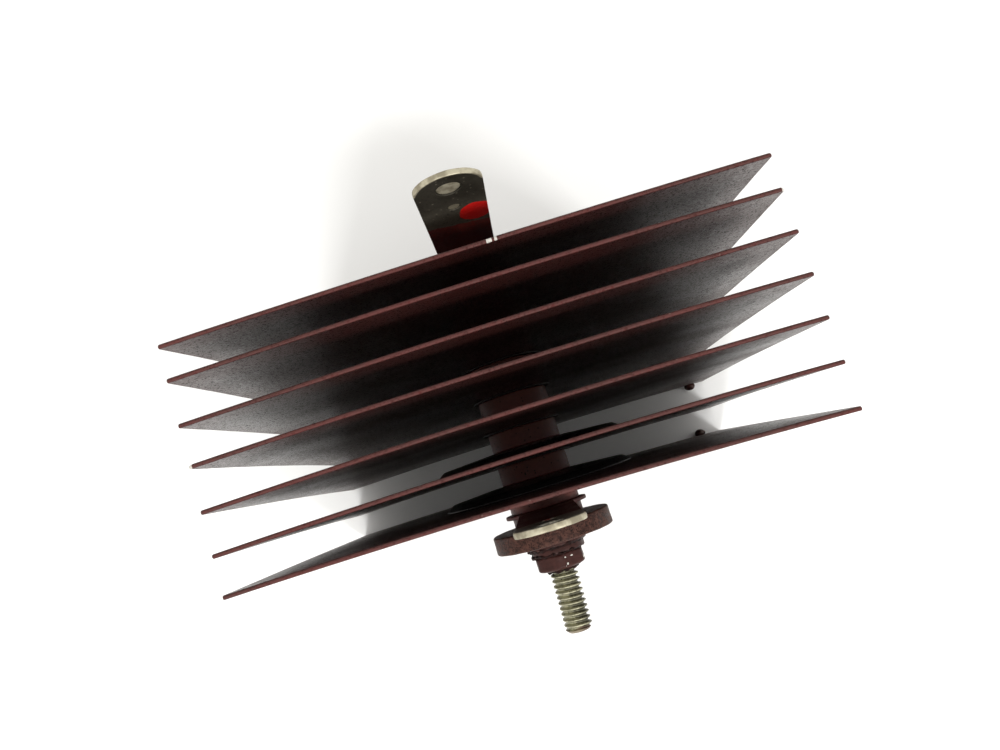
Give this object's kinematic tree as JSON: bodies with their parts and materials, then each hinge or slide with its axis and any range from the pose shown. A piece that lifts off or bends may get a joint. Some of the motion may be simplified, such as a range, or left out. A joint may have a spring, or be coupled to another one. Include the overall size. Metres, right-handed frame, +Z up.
{
  "type": "selenium rectifier stack",
  "caption": "Square painted rectifier plates clamped face to face on an insulated threaded stud, with spring contacts, spacers and two solder terminals.",
  "frame": {"origin": "bottom centre of the object's box, where the plates' lower edges rest", "axes": "+Y along the stud towards the positive terminal, +Z up with the terminals pointing up, +X across the plates"},
  "size_m": [0.1112, 0.0928, 0.1135],
  "materials": {
    "painted_cell": "glossy oven-dried maroon lacquer over the coated cell, pinkish where it thins on the edges",
    "black_spring": "satin black dished sheet",
    "barrier_fibre": "pressed fibre, hidden under the spring",
    "contact_metal": "thin dark washer",
    "painted_spacer": "satin maroon lacquer",
    "plated_steel": "dull yellowish plated thread",
    "tube_fibre": "laminated insulating tube, hidden",
    "tinned_terminal": "dull tinned strip, maroon lacquer up to a ragged line, red spot on the positive one",
    "painted_insulator": "speckled maroon lacquer on pressed insulating board",
    "painted_hardware": "satin maroon lacquer, chipped and cracked at the joints"
  },
  "bodies": {
    "root": {"center_stud": "plated_steel", "insulating_tube": "tube_fibre", "rectifier_plate_1": "painted_cell", "rectifier_plate_2": "painted_cell", "rectifier_plate_3": "painted_cell", "rectifier_plate_4": "painted_cell", "rectifier_plate_5": "painted_cell", "rectifier_plate_6": "painted_cell", "rectifier_plate_7": "painted_cell", "contact_spring_1": "black_spring", "contact_spring_2": "black_spring", "contact_spring_3": "black_spring", "contact_spring_4": "black_spring", "contact_spring_5": "black_spring", "contact_spring_6": "black_spring", "contact_spring_7": "black_spring", "barrier_washer_1": "barrier_fibre", "barrier_washer_2": "barrier_fibre", "barrier_washer_3": "barrier_fibre", "barrier_washer_4": "barrier_fibre", "barrier_washer_5": "barrier_fibre", "barrier_washer_6": "barrier_fibre", "barrier_washer_7": "barrier_fibre", "contact_washer_1": "contact_metal", "contact_washer_2": "contact_metal", "contact_washer_3": "contact_metal", "contact_washer_4": "contact_metal", "contact_washer_5": "contact_metal", "contact_washer_6": "contact_metal", "contact_washer_7": "contact_metal", "spacer_1": "painted_spacer", "spacer_2": "painted_spacer", "spacer_3": "painted_spacer", "spacer_4": "painted_spacer", "spacer_5": "painted_spacer", "spacer_6": "painted_spacer", "positive_end_collar": "painted_spacer", "negative_end_collar": "painted_spacer", "back_collar": "painted_spacer", "positive_terminal": "tinned_terminal", "negative_terminal": "tinned_terminal", "insulating_washer": "painted_insulator", "cap_washer": "painted_insulator", "flat_washer": "painted_hardware", "lock_washer": "painted_hardware", "mounting_nut": "painted_hardware", "end_nut": "painted_hardware"}
  },
  "joints": []
}
